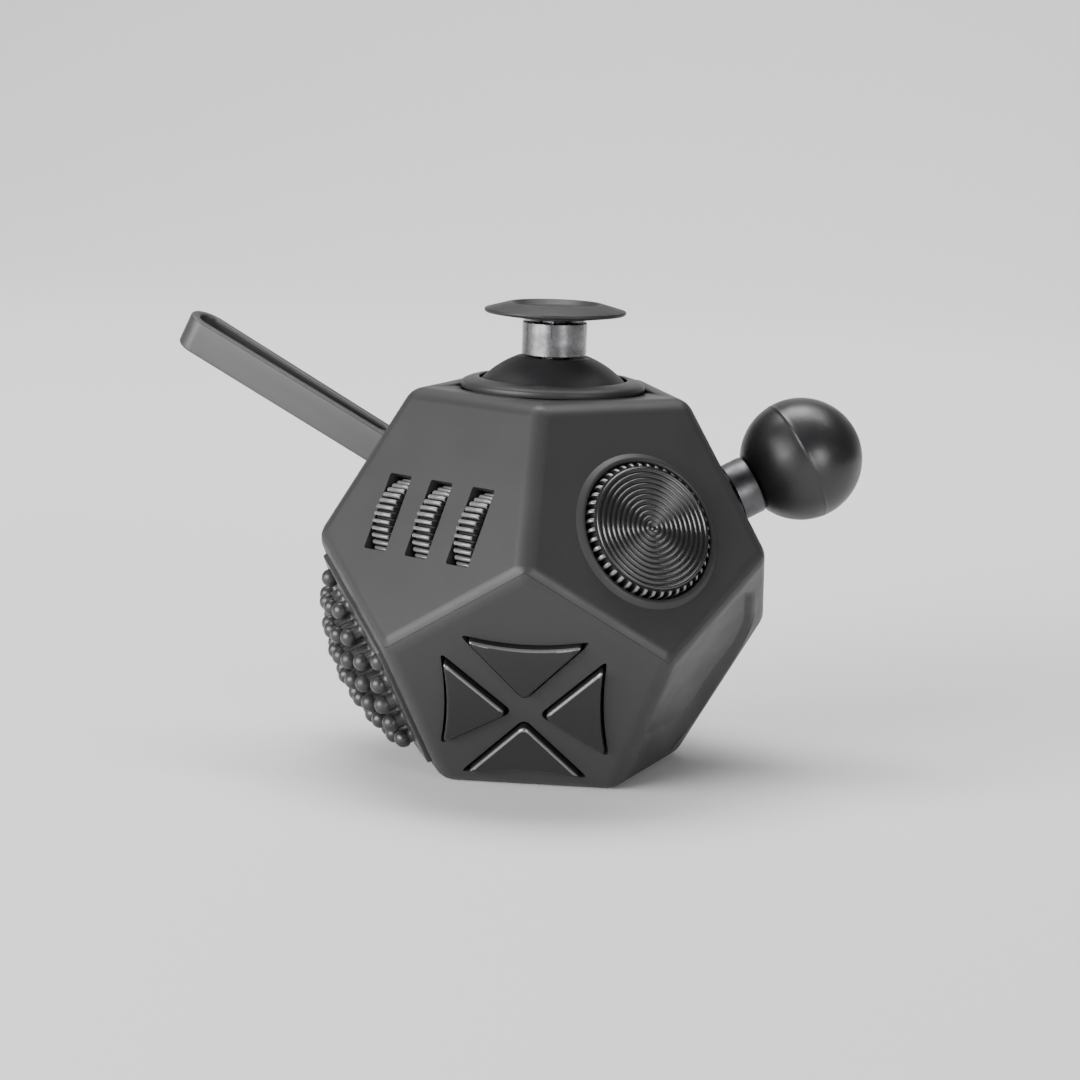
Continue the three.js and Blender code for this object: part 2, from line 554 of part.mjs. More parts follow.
// ---------------------------------------------------------------- nubbed silicone pad
function nubPad() {
  shellWork.nubs.add.push(prism(pentagon(12.9), [-3.4, -WALL + 0.2]));
  shellWork.nubs.cut.push(prism(pentagon(13.4), [-1.5, 1]));
  const nubs = [];
  const rowPitch = (NUB_PITCH * Math.sqrt(3)) / 2;
  for (let row = -4; row <= 4; row++) {
    for (let column = -4; column <= 4; column++) {
      const x = (column + (row % 2 === 0 ? 0 : 0.5)) * NUB_PITCH;
      const y = row * rowPitch;
      if (!insidePentagon(x, y, 13 - NUB_RADIUS - 0.3)) continue;
      const height = NUB_HEIGHT - 2.7 * (Math.hypot(x, y) / 12) ** 2;
      const profile = [[0, -1], [NUB_RADIUS, -1], [NUB_RADIUS, height - 1], [NUB_RADIUS * 0.8, height - 0.4],
        [NUB_RADIUS * 0.4, height], [0, height]];
      nubs.push(turned(profile, 8).translate(x, y, 0));
    }
  }
  addPart("nub_pad", "nubs", join(prism(pentagon(13), [-1.2, 0.2]), ...nubs), silicone);
}

function insidePentagon(x, y, inradius) {
  return [0, 1, 2, 3, 4].every((k) => {
    const angle = -Math.PI / 2 + (k * 2 * Math.PI) / 5;
    return x * Math.cos(angle) + y * Math.sin(angle) < inradius;
  });
}

// ---------------------------------------------------------------- slider
function slider() {
  shellWork.slider.cut.push(box([-7.5, 7.5], [-1.6, 1.6], [-WALL - 1, 1]));
  shellWork.slider.cut.push(box([-9.2, 9.2], [-3.5, 3.5], [-0.7, 1]));
  const cap = box([-3.2, 3.2], [-3, 3], [-0.4, 1.6]);
  const ridges = [-2, 0, 2].map((x) => box([x - 0.4, x + 0.4], [-2.6, 2.6], [1, 2.2]));
  const neck = box([-2, 2], [-1.2, 1.2], [-4.4, 0]);
  addPart("slider_knob", "slider", join(cap, neck, ...ridges), glossBlack);
  const clip = cut(box([-3.4, 3.4], [-3.2, 3.2], [-3.9, BEHIND]), box([-2.3, 2.3], [-1.5, 1.5], [-5, 0]));
  addPart("slider_clip", "slider", clip, innerPlastic);
}

// ---------------------------------------------------------------- roller ball
function rollerBall() {
  const radius = 6.5;
  const depth = -4.2;
  shellWork.roller.cut.push(ball(radius + 0.4, depth, 24, 16));
  addPart("roller_ball", "roller", ball(radius, depth, 20, 12), steel);
  const clearance = radius + 0.4;
  const inner = [-9, -7, -4.2, BEHIND].map((z) => [Math.sqrt(clearance ** 2 - (z - depth) ** 2), z]);
  const profile = [inner[0], [8.6, -9], [8.6, BEHIND], ...inner.reverse()];
  addPart("roller_socket", "roller", turned(profile, 20), innerPlastic);
}

// ---------------------------------------------------------------- turning ring under the base
function baseRing() {
  shellWork.base.cut.push(disc(11.4, [-WALL - 1, 1], 28));
  const collar = [[3.5, -3], [11, -3], [11, -0.5], [5.7, -0.5], [5.7, -1.5], [3.5, -1.5], [3.5, -3]];
  const scoops = [0, 120, 240].map((degrees) => {
    const angle = THREE.MathUtils.degToRad(degrees);
    return ball(3.6, 2.1, 12, 8).translate(8.35 * Math.cos(angle), 8.35 * Math.sin(angle), 0);
  });
  addPart("base_ring", "base", cut(turned(collar, 28), ...scoops), glossBlack);
  const hub = [[0, -4.8], [3.1, -4.8], [3.1, -1.2], [5.3, -1.2], [5.3, 0], [0, 0]];
  addPart("base_hub", "base", turned(hub, 20), softTouch);
  addPart("base_mount", "base", ring(3.4, 12.4, [-4.4, -3.3]), innerPlastic);
}

// ---------------------------------------------------------------- the two half shells
function dodecahedronCorners() {
  const ringOf = (radius, firstAzimuth, height) =>
    [0, 1, 2, 3, 4].map((k) => {
      const angle = THREE.MathUtils.degToRad(firstAzimuth + 72 * k);
      return new THREE.Vector3(radius * Math.cos(angle), radius * Math.sin(angle), height);
    });
  return [
    ...ringOf(FACE_CIRCUMRADIUS, 54, INRADIUS),
    ...ringOf(WAIST_RADIUS, 54, WAIST_HEIGHT),
    ...ringOf(WAIST_RADIUS, 18, -WAIST_HEIGHT),
    ...ringOf(FACE_CIRCUMRADIUS, 18, -INRADIUS),
  ];
}

const outward = (face) => new THREE.Vector3().setFromMatrixColumn(FACES[face], 2);

// The dodecahedron about the origin, its edges and corners rounded to the given radius.
function roundedDodecahedron(radius) {
  const points = [];
  for (const corner of dodecahedronCorners()) {
    const normals = Object.keys(FACES).map(outward).filter((n) => n.dot(corner) > INRADIUS * 0.99);
    const centre = corner.clone().multiplyScalar(1 - radius / INRADIUS);
    const put = (direction) => points.push(centre.clone().addScaledVector(direction.normalize(), radius));
    normals.forEach((n) => put(n.clone()));
    for (const [i, j] of [[0, 1], [1, 2], [2, 0]]) {
      for (const t of [1 / 3, 2 / 3]) put(normals[i].clone().lerp(normals[j], t));
    }
    put(corner.clone());
  }
  return new ConvexGeometry(points);
}

function sharpDodecahedron(inradius) {
  const scale = inradius / INRADIUS;
  return new ConvexGeometry(dodecahedronCorners().map((c) => c.multiplyScalar(scale)));
}

// Everything the six upper faces look out on: a pyramid from the body's centre through each.
function upperRegion() {
  const pyramids = UPPER_FACES.map((face) => {
    const rim = dodecahedronCorners().filter((c) => outward(face).dot(c) > INRADIUS * 0.99);
    return new ConvexGeometry([new THREE.Vector3(), ...rim.map((c) => c.multiplyScalar(1.5))]);
  });
  return join(...pyramids);
}

function shells() {
  const hollow = cut(roundedDodecahedron(EDGE_RADIUS), sharpDodecahedron(INRADIUS - WALL));
  const region = upperRegion();
  const halves = {
    upper_shell: hollow.intersect(region),
    lower_shell: hollow.subtract(region.translate(0, 0, -SEAM)),
  };
  for (const [name, half] of Object.entries(halves)) {
    const faces = Object.keys(FACES).filter((f) => UPPER_FACES.includes(f) === (name === "upper_shell"));
    let shell = half.translate(0, 0, INRADIUS);
    for (const face of faces) {
      for (const shape of shellWork[face].add) shell = shell.add(toSolid(onFace(face, shape)));
      for (const shape of shellWork[face].cut) shell = shell.subtract(toSolid(onFace(face, shape)));
    }
    const mesh = new THREE.Mesh(toGeometry(shell), softTouch.clone());
    mesh.name = name;
    object.add(mesh);
  }
}

joystick();
ballStick();
thumbWheels();
groovedDial();
swingArm();
rockerSwitch();
pushButtons();
thumbDish();
nubPad();
slider();
rollerBall();
baseRing();
shells();

export default object;
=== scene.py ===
import json
import math
import bpy
import bmesh
from mathutils import Matrix, Vector


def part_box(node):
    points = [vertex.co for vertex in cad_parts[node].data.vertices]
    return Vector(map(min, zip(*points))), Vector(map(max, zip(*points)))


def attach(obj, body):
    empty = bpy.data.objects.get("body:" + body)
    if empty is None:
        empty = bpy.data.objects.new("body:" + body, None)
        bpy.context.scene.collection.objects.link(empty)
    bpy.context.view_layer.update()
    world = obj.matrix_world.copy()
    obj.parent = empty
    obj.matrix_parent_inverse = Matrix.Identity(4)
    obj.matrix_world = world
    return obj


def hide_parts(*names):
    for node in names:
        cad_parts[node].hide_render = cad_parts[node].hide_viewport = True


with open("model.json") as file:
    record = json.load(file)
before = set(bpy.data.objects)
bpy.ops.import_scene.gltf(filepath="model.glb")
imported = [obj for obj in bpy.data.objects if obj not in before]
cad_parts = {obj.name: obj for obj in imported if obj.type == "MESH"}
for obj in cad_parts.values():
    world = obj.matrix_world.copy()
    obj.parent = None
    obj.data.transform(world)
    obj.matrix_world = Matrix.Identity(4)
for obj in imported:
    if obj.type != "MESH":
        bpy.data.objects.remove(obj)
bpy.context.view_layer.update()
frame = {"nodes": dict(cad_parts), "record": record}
nodes = frame["nodes"]
scene = bpy.context.scene

# ---------------------------------------------------------------- sizes of the body, in metres
MM = 0.001
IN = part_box("upper_shell")[1].z / 2  # body centre to a face
EDGE = IN / 1.1135164  # a regular dodecahedron's edge, and below its corners' radii and height
FACE_CIRCUMRADIUS = EDGE * 0.8506508
WAIST_RADIUS = EDGE * 1.3763819
WAIST_HEIGHT = EDGE * 0.2628656
WALL = 2.2 * MM
EDGE_RADIUS = 2.6 * MM
EDGE_TURN = 63.435  # degrees that the surface turns through at an edge
SEAM = 0.04 * MM  # gap between the two half shells
CENTRE = Vector((0, 0, IN))

# ---------------------------------------------------------------- places on a face, in millimetres
DROP = -1.5  # the wheels and the ball sit this far down their faces' slopes
WHEEL_PLACES = (-7.2, 0, 7.2)
WHEEL_AXLE = -5
DIAL_AT = (0.7, -1.7, 0)
ARM_AT = (0.5, 2.9)
DISH_DROP = -0.6
JOYSTICK_PIVOT = -7.9  # also the middle of the dome's sphere
ROLLER_CENTRE = -4.2
THROUGH = (-3.2, 1)  # heights that clear the wall's inner and outer skin


# ---------------------------------------------------------------- the twelve faces
def frame_matrix(z, y):
    """A face's frame: +Z out, +Y up the slope, origin in the face's middle, unit millimetres."""
    x = y.cross(z)
    turn = Matrix((x, y, z)).transposed().to_4x4()
    return Matrix.Translation(CENTRE + z * IN) @ turn @ Matrix.Scale(MM, 4)


def face_matrix(azimuth, rise):
    a = math.radians(azimuth)
    across = math.sqrt(1 - rise * rise)
    z = Vector((math.cos(a) * across, math.sin(a) * across, rise))
    y = Vector((-math.cos(a) * rise, -math.sin(a) * rise, across))
    return frame_matrix(z, y)


RISE = 1 / math.sqrt(5)
FACES = {
    "stick": frame_matrix(Vector((0, 0, 1)), Vector((0, 1, 0))),
    "wheels": face_matrix(234, RISE),
    "dial": face_matrix(-54, RISE),
    "ball": face_matrix(18, RISE),
    "rocker": face_matrix(90, RISE),
    "arm": face_matrix(162, RISE),
    "buttons": face_matrix(-90, -RISE),
    "dish": face_matrix(-18, -RISE),
    "slider": face_matrix(54, -RISE),
    "roller": face_matrix(126, -RISE),
    "nubs": face_matrix(198, -RISE),
    "base": frame_matrix(Vector((0, 0, -1)), Vector((0, -1, 0))),
}
UPPER = ("stick", "wheels", "dial", "ball", "rocker", "arm")


def outward(face):
    return FACES[face].to_3x3().col[2].normalized()


# ---------------------------------------------------------------- mesh helpers
def new_object(name, bm):
    bmesh.ops.recalc_face_normals(bm, faces=bm.faces)
    mesh = bpy.data.meshes.new(name)
    bm.to_mesh(mesh)
    bm.free()
    obj = bpy.data.objects.new(name, mesh)
    scene.collection.objects.link(obj)
    return obj


def from_lists(name, verts, faces, matrix):
    bm = bmesh.new()
    made = [bm.verts.new(matrix @ Vector(v)) for v in verts]
    for f in faces:
        bm.faces.new([made[i] for i in f])
    bmesh.ops.remove_doubles(bm, verts=bm.verts, dist=1e-7)
    return new_object(name, bm)


def lathe_lists(profile, segments):
    """Turns [radius, height] pairs about Z. Ends on the axis close to a point."""
    verts, faces, rings = [], [], []
    for r, z in profile:
        if r < 1e-6:
            rings.append([len(verts)])
            verts.append((0, 0, z))
        else:
            rings.append(list(range(len(verts), len(verts) + segments)))
            for k in range(segments):
                a = 2 * math.pi * k / segments
                verts.append((r * math.cos(a), r * math.sin(a), z))
    closed = profile[0][0] > 1e-6
    pairs = list(zip(rings, rings[1:])) + ([(rings[-1], rings[0])] if closed else [])
    for low, high in pairs:
        for k in range(segments):
            n = (k + 1) % segments
            quad = [low[k % len(low)], low[n % len(low)],
                    high[n % len(high)], high[k % len(high)]]
            face = list(dict.fromkeys(quad))
            if len(face) > 2:
                faces.append(face)
    return verts, faces


def lathe(name, face, profile, segments=96, at=(0, 0, 0)):
    verts, faces = lathe_lists(profile, segments)
    return from_lists(name, verts, faces, FACES[face] @ Matrix.Translation(at))


def prism_lists(outline, z0, z1):
    n = len(outline)
    verts = [(x, y, z0) for x, y in outline] + [(x, y, z1) for x, y in outline]
    faces = [list(reversed(range(n))), list(range(n, 2 * n))]
    faces += [[k, (k + 1) % n, n + (k + 1) % n, n + k] for k in range(n)]
    return verts, faces


def prism(name, face, outline, z0, z1, local=Matrix()):
    verts, faces = prism_lists(outline, z0, z1)
    return from_lists(name, verts, faces, FACES[face] @ local)


def rectangle(x0, x1, y0, y1, radius=0.0, steps=4):
    """A rectangle's outline, anticlockwise, with round corners if radius is above zero."""
    if radius <= 0:
        return [(x0, y0), (x1, y0), (x1, y1), (x0, y1)]
    points = []
    for cx, cy, start in ((x1 - radius, y0 + radius, -90), (x1 - radius, y1 - radius, 0),
                          (x0 + radius, y1 - radius, 90), (x0 + radius, y0 + radius, 180)):
        for k in range(steps + 1):
            a = math.radians(start + 90 * k / steps)
            points.append((cx + radius * math.cos(a), cy + radius * math.sin(a)))
    return points


def circle(radius, segments=48, centre=(0, 0)):
    return [(centre[0] + radius * math.cos(2 * math.pi * k / segments),
             centre[1] + radius * math.sin(2 * math.pi * k / segments)) for k in range(segments)]


def ball_profile(radius, height, rings=32):
    """A sphere's profile for lathe(), from its lowest point to its highest."""
    points = []
    for k in range(rings + 1):
        a = math.pi * k / rings - math.pi / 2
        points.append((max(0.0, radius * math.cos(a)), height + radius * math.sin(a)))
    points[0], points[-1] = (0, height - radius), (0, height + radius)
    return points


ALONG_X = Matrix.Rotation(math.pi / 2, 4, "Y")


def stitch(rings, closed):
    """Quads from each ring to the next. The last joins the first, or both ends are capped."""
    n = len(rings[0])
    verts = [v for ring in rings for v in ring]
    faces = []
    for i in range(len(rings) if closed else len(rings) - 1):
        j = (i + 1) % len(rings)
        faces += [[i * n + k, i * n + (k + 1) % n, j * n + (k + 1) % n, j * n + k]
                  for k in range(n)]
    if not closed:
        faces += [list(range(n)), list(range(len(verts) - n, len(verts)))]
    return verts, faces


def settle(obj):
    """Puts the result of an object's modifiers into its mesh."""
    graph = bpy.context.evaluated_depsgraph_get()
    mesh = bpy.data.meshes.new_from_object(obj.evaluated_get(graph))
    old = obj.data
    obj.modifiers.clear()
    obj.data = mesh
    bpy.data.meshes.remove(old)
    return obj


def boolean(obj, tool, operation):
    step = obj.modifiers.new(operation.lower(), "BOOLEAN")
    step.object, step.operation, step.solver = tool, operation, "EXACT"
    settle(obj)
    bpy.data.objects.remove(tool)
    return obj


def bevel(obj, width, segments=2, angle=35):
    step = obj.modifiers.new("round", "BEVEL")
    step.width, step.segments = width * MM, segments
    step.limit_method, step.angle_limit = "ANGLE", math.radians(angle)
    return settle(obj)


def smooth(obj, angle=30):
    for polygon in obj.data.polygons:
        polygon.use_smooth = True
    obj.data.set_sharp_from_angle(angle=math.radians(angle))
    return obj


def weigh_normals(obj):
    step = obj.modifiers.new("normals", "WEIGHTED_NORMAL")
    step.keep_sharp, step.weight = True, 100
    return obj


# ---------------------------------------------------------------- materials
def material(name, colour, roughness, metallic=0.0, coat=0.0, mottle=0.06, grain=900.0,
             grain_depth=0.02, rough_spread=0.08, smudge=60.0, specular=0.5,
             brushed=False, streaks=None):
    """Moulded or turned surface: colour that drifts a little, patchy gloss and a fine grain.

    mottle and rough_spread are how far colour and roughness drift, smudge and grain are noise
    scales, and grain_depth is in millimetres."""
    made = bpy.data.materials.new(name)
    made.use_nodes = True
    tree = made.node_tree
    shader = tree.nodes["Principled BSDF"]
    shader.inputs["Metallic"].default_value = metallic
    shader.inputs["Coat Weight"].default_value = coat
    shader.inputs["Coat Roughness"].default_value = 0.15
    shader.inputs["Specular IOR Level"].default_value = specular
    where = tree.nodes.new("ShaderNodeTexCoord").outputs["Object"]

    def noise(scale, detail=4.0, rough=0.55, vector=None):
        made_noise = tree.nodes.new("ShaderNodeTexNoise")
        made_noise.inputs["Scale"].default_value = scale
        made_noise.inputs["Detail"].default_value = detail
        made_noise.inputs["Roughness"].default_value = rough
        tree.links.new(vector or where, made_noise.inputs["Vector"])
        return made_noise.outputs["Fac"]

    def ramp(source, low, high, low_at=0.35, high_at=0.65):
        made_ramp = tree.nodes.new("ShaderNodeValToRGB")
        made_ramp.color_ramp.elements[0].position = low_at
        made_ramp.color_ramp.elements[1].position = high_at
        made_ramp.color_ramp.elements[0].color = low
        made_ramp.color_ramp.elements[1].color = high
        tree.links.new(source, made_ramp.inputs["Fac"])
        return made_ramp.outputs["Color"]

    flow = None
    if streaks:
        # Long streaks run out along that face's normal.
        turn = tree.nodes.new("ShaderNodeMapping")
        turn.vector_type = "TEXTURE"
        turn.inputs["Rotation"].default_value = FACES[streaks].to_3x3().normalized().to_euler()
        turn.inputs["Scale"].default_value = (1, 1, 16)
        tree.links.new(where, turn.inputs["Vector"])
        flow = turn.outputs["Vector"]
    darker = tuple(c * (1 - mottle) for c in colour) + (1,)
    lighter = tuple(min(1, c * (1 + mottle)) for c in colour) + (1,)
    tree.links.new(ramp(noise(smudge, vector=flow), darker, lighter), shader.inputs["Base Color"])
    low, high = max(0.02, roughness - rough_spread), min(1, roughness + rough_spread)
    gloss = ramp(noise(smudge * 2.3, 6.0), (low,) * 3 + (1,), (high,) * 3 + (1,))
    tree.links.new(gloss, shader.inputs["Roughness"])
    vector = None
    if brushed:
        stretch = tree.nodes.new("ShaderNodeMapping")
        stretch.inputs["Scale"].default_value = (1, 1, 14)
        tree.links.new(where, stretch.inputs["Vector"])
        vector = stretch.outputs["Vector"]
    bump = tree.nodes.new("ShaderNodeBump")
    bump.inputs["Strength"].default_value = 0.35
    bump.inputs["Distance"].default_value = grain_depth * MM
    tree.links.new(noise(grain, 3.0, 0.6, vector), bump.inputs["Height"])
    tree.links.new(bump.outputs["Normal"], shader.inputs["Normal"])
    return made


LOOKS = {
    "soft_touch_shell": material("soft_touch", (0.028, 0.028, 0.029), 0.44, specular=0.3,
                                 mottle=0.04, rough_spread=0.035, grain=2600, grain_depth=0.03),
    "gloss_black": material("gloss_black", (0.012, 0.012, 0.013), 0.24,
                            rough_spread=0.05, grain=700, grain_depth=0.012),
    "black_rubber": material("satin_rubber", (0.013, 0.013, 0.014), 0.38,
                             grain=1800, grain_depth=0.03),
    "grey_silicone": material("silicone", (0.026, 0.026, 0.027), 0.38,
                              grain=1400, grain_depth=0.02),
    "inner_plastic": material("inner_plastic", (0.09, 0.09, 0.092), 0.45,
                              grain=1200, grain_depth=0.03),
    "steel": material("turned_steel", (0.17, 0.17, 0.175), 0.24, metallic=1.0, mottle=0.3,
                      smudge=420, rough_spread=0.09, grain=800, grain_depth=0.01, brushed=True),
}
SATIN = material("satin_black", (0.014, 0.014, 0.015), 0.52, specular=0.35,
                 grain=1500, grain_depth=0.02)
DULL_STEEL = material("dull_steel", (0.1, 0.1, 0.104), 0.42, metallic=1.0, mottle=0.2,
                      smudge=300, rough_spread=0.06, grain=800, grain_depth=0.008, brushed=True)
ARM_LOOK = material("arm_plastic", (0.036, 0.036, 0.037), 0.42, mottle=0.16, smudge=260,
                    rough_spread=0.05, grain=1500, grain_depth=0.03, streaks="arm")
# Ridge tops of the wheels and dial rim: lighter grey, partly finger wear and partly a painted
# highlight.
WHEEL_LOOK = material("worn_and_highlit_ridge", (0.12, 0.12, 0.122), 0.27, specular=1.0,
                      rough_spread=0.04, grain=1200, grain_depth=0.008)
# Painted shade: near-black for the valleys and sides of the wheels' and the dial rim's teeth.
PAINTED_VALLEY_SHADE = material("painted_valley_shade", (0.006, 0.006, 0.007), 0.6, specular=0.25,
                        grain=1200, grain_depth=0.01)
DIAL_LOOK = material("dial_gloss", (0.016, 0.016, 0.017), 0.24, specular=0.8,
                     rough_spread=0.05, grain=900, grain_depth=0.012)
# Painted highlight for the buttons' rounded edges that face up the slope.
PAINTED_EDGE_HIGHLIGHT = material("painted_edge_highlight", (0.09, 0.09, 0.092), 0.24, specular=1.0, coat=1.0,
                  rough_spread=0.03, grain=1600, grain_depth=0.004)
BUTTON_LOOK = material("button_satin", (0.012, 0.012, 0.013), 0.36, specular=0.4,
                       mottle=0.03, rough_spread=0.02, grain=1600, grain_depth=0.004)


def dress(obj, body, slot, *replaced, look=None):
    """Gives a new piece a material, its slot's look unless another is given, puts it under its
    body and hides the CAD nodes it stands for.
    """
    obj.data.materials.clear()
    obj.data.materials.append(look or LOOKS[slot])
    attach(obj, body)
    if replaced:
        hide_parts(*replaced)
    return obj


# Every CAD piece takes its slot's look. Those that nothing replaces, mostly inner ones, show.
for entry in frame["record"]["subparts"]:
    node = nodes[entry["node"]]
    node.data.materials.clear()
    node.data.materials.append(LOOKS[entry["material_slot"]])
    smooth(node, 28)


# ---------------------------------------------------------------- joystick
def arc(radius, height, start, stop, steps):
    """Points on a circle about the axis, by angle from straight up, in degrees."""
    angles = [math.radians(start + (stop - start) * k / steps) for k in range(steps + 1)]
    return [(radius * math.sin(a), height + radius * math.cos(a)) for a in angles]


def joystick():
    profile = [(10.6, 0.3), (10.9, -0.1), (12.0, -0.1), (12.1, 0.1), (12.1, 0.6), (12.02, 0.76),
               (11.7, 0.98), (11.2, 1.18), (10.7, 1.32), (10.3, 1.39), (10.0, 1.4), (9.82, 1.37),
               (9.75, 1.28), (9.82, 1.15)]
    bezel = lathe("joystick_bezel_ring", "stick", profile, 128)
    dress(smooth(bezel, 40), "case", "soft_touch_shell", "joystick_bezel")
    profile = [(2.3, 4.1), (4.7, 4.1), (4.85, 4.13)]
    profile += arc(13.0, JOYSTICK_PIVOT, 22.1, 62, 28) + arc(11.7, JOYSTICK_PIVOT, 62, 11.34, 28)
    bell = lathe("joystick_bell", "stick", profile, 128)
    dress(smooth(bell, 40), "joystick", "gloss_black", "joystick_dome", look=SATIN)
    profile = [(2.3, 4.4), (4.12, 4.4), (4.25, 4.52), (4.25, 8.66), (4.17, 8.77), (4.05, 8.8),
               (2.3, 8.8)]
    sleeve = lathe("joystick_sleeve", "stick", profile, 96)
    split = prism("split", "stick", rectangle(-0.06, 0.06, -5, -3.9), 6.9, 9)
    boolean(sleeve, split, "DIFFERENCE")
    dress(smooth(sleeve, 35), "joystick", "steel", "joystick_collar")
    profile = [(0, 9.6), (2.3, 9.6), (2.3, 9.1), (4, 9.1), (8.7, 9.77), (9.1, 9.84), (9.25, 9.94),
               (9.3, 10.08), (9.3, 10.22), (9.25, 10.33), (9.1, 10.4), (6.6, 11.1), (6.3, 11.18),
               (6.05, 11.2), (5.85, 11.16), (5.7, 11.05), (5.3, 10.7), (4.9, 10.5), (4.2, 10.38),
               (0, 10.3)]
    cap = lathe("joystick_thumb_disc", "stick", profile, 128)
    dress(smooth(cap, 40), "joystick", "black_rubber", "joystick_cap", look=SATIN)


# ---------------------------------------------------------------- ball on its stalk
def ball_stick():
    at = (0, DROP, 0)
    profile = [(5, -0.3), (8, -0.3), (8, 0.3), (9.3, 0.3), (9.4, 0.4), (9.35, 0.55), (9.15, 0.72),
               (8.6, 0.88), (5.4, 0.7), (5.1, 0.6), (5, 0.4)]
    cover = lathe("ball_cover_ring", "ball", profile, 96, at)
    dress(smooth(cover, 40), "case", "soft_touch_shell", "ball_cover")
    profile = [(2, 2.35), (3.9, 2.35), (4, 2.45), (4, 5.28), (3.92, 5.4), (2, 5.4)]
    sleeve = lathe("ball_sleeve", "ball", profile, 80, at)
    dress(smooth(sleeve, 35), "ball_stick", "steel", "ball_collar", look=DULL_STEEL)
    # A fine raised line runs round the ball where the two halves of its mould met.
    radius, height, line_radius, line_at, line_half = 8.27, 13.0, 8.3, 95, 0.7
    profile = [(0, 10.6), (1.95, 10.6), (2.0, 5.7), (3.8, 5.7)]
    profile += arc(radius, height, 151.5, line_at + line_half, 22)
    profile += arc(line_radius, height, line_at + line_half / 2, line_at - line_half / 2, 2)
    profile += arc(radius, height, line_at - line_half, 0, 30)
    profile[-1] = (0, height + radius)
    knob = lathe("ball_rubber", "ball", profile, 96, at)
    dress(smooth(knob, 40), "ball_stick", "black_rubber", "ball_knob")


# ---------------------------------------------------------------- thumb wheels
def toothed_ring(teeth, tooth, root, tip, z):
    """One level of a toothed wheel. tooth lists [part of a pitch, part of the tooth's height]."""
    ring = []
    for k in range(teeth):
        for part, height in tooth:
            a, r = 2 * math.pi * (k + part) / teeth, root + (tip - root) * height
            ring.append((r * math.cos(a), r * math.sin(a), z))
    return ring


def paint_valley_shade(obj, ring_length, tooth_length, ridge_rings, ridge_parts):
    """All but the ridges' tops and upper flanks take a darker material: painted shade in the
    valleys and on the sides.
    """
    obj.data.materials.append(PAINTED_VALLEY_SHADE)
    for face in obj.data.polygons:
        ring, part = divmod(face.index, ring_length)
        if ring not in ridge_rings or part % tooth_length not in ridge_parts:
            face.material_index = 1


def thumb_wheels():
    teeth, root, tip, half, bore = 38, 5.2, 6.0, 1.6, 1.3
    ridge = [(0.0, 0.0), (0.24, 0.0), (0.32, 0.1), (0.35, 0.5), (0.39, 0.86), (0.48, 0.98),
             (0.62, 1.0), (0.76, 0.98), (0.85, 0.86), (0.89, 0.5), (0.92, 0.1)]
    sides = ((-half, 0.4), (-half + 0.12, 0.14), (-half + 0.35, 0),
             (half - 0.35, 0), (half - 0.12, 0.14), (half, 0.4))
    rings = [toothed_ring(teeth, ridge, root - shrink, tip - shrink, z) for z, shrink in sides]
    n = len(rings[0])
    rings += [[(x, y, z) for x, y in circle(bore, n)] for z in (half, -half)]
    verts, faces = stitch(rings, True)
    for index, x in enumerate(WHEEL_PLACES, 1):
        place = FACES["wheels"] @ Matrix.Translation((x, DROP, WHEEL_AXLE)) @ ALONG_X
        wheel = from_lists(f"ribbed_wheel_{index}", verts, faces, place)
        dress(smooth(wheel, 50), f"wheel_{index}", "black_rubber", f"thumb_wheel_{index}",
              look=WHEEL_LOOK)
        # Painted shade darkens the valleys and sides; the ridge tops stay lighter.
        paint_valley_shade(wheel, n, len(ridge), range(1, 4), range(3, 9))


# ---------------------------------------------------------------- grooved dial
def grooved_dial():
    ridges, pitch, top_at, deep, teeth = 11, 0.71, 1.6, 0.25, 44
    ridge = ((0.24, 0.55), (0.17, 0.85), (0.08, 0.98), (-0.08, 0.98), (-0.17, 0.85),
             (-0.24, 0.55), (-0.31, 0.15), (-0.5, 0.0))
    top = []
    for k in range(ridges, 0, -1):
        middle = k * pitch
        for offset, height in ridge:
            top.append((middle + offset * pitch, top_at - deep * (1 - height)))
    edge = [(8.1, 0.0), (8.1, 1.3), (8.08, 1.45), (8.03, 1.54), (7.97, 1.57)]
    hub = [(0.3, 1.36), (0.15, 1.46), (0, 1.48)]
    disc = lathe("dial_grooved_disc", "dial", [(0, 0), *edge, *top, *hub], 160, DIAL_AT)
    # The teeth's tops slope down to the outside, so that light catches each one.
    tooth = ((0.0, 0.0), (0.3, 0.0), (0.38, 0.25), (0.47, 0.85), (0.58, 1.0), (0.72, 1.0),
             (0.83, 0.85), (0.92, 0.25))
    levels = ((-1.9, 8.3, 8.8), (0.5, 8.3, 8.8), (0.72, 8.27, 8.76), (1.0, 8.2, 8.5),
              (1.12, 8.15, 8.3), (1.15, 7.9, 7.9), (-1.9, 7.9, 7.9))
    rings = [toothed_ring(teeth, tooth, root, tip, z) for z, root, tip in levels]
    place = FACES["dial"] @ Matrix.Translation(DIAL_AT)
    rim = from_lists("dial_toothed_rim", *stitch(rings, True), place)
    dress(smooth(disc, 50), "dial", "black_rubber", "dial", look=DIAL_LOOK)
    dress(smooth(rim, 40), "dial", "black_rubber", look=WHEEL_LOOK)
    # Painted shade darkens the rim teeth's valleys and sides.
    paint_valley_shade(rim, len(rings[0]), len(tooth), range(4), range(3, 6))
    profile = [(0, -6.2), (2.0, -6.2), (2.2, -6.0), (2.2, -1.8), (0, -1.8)]
    shaft = lathe("dial_shaft", "dial", profile, 32, DIAL_AT)
    dress(smooth(shaft, 40), "dial", "black_rubber")


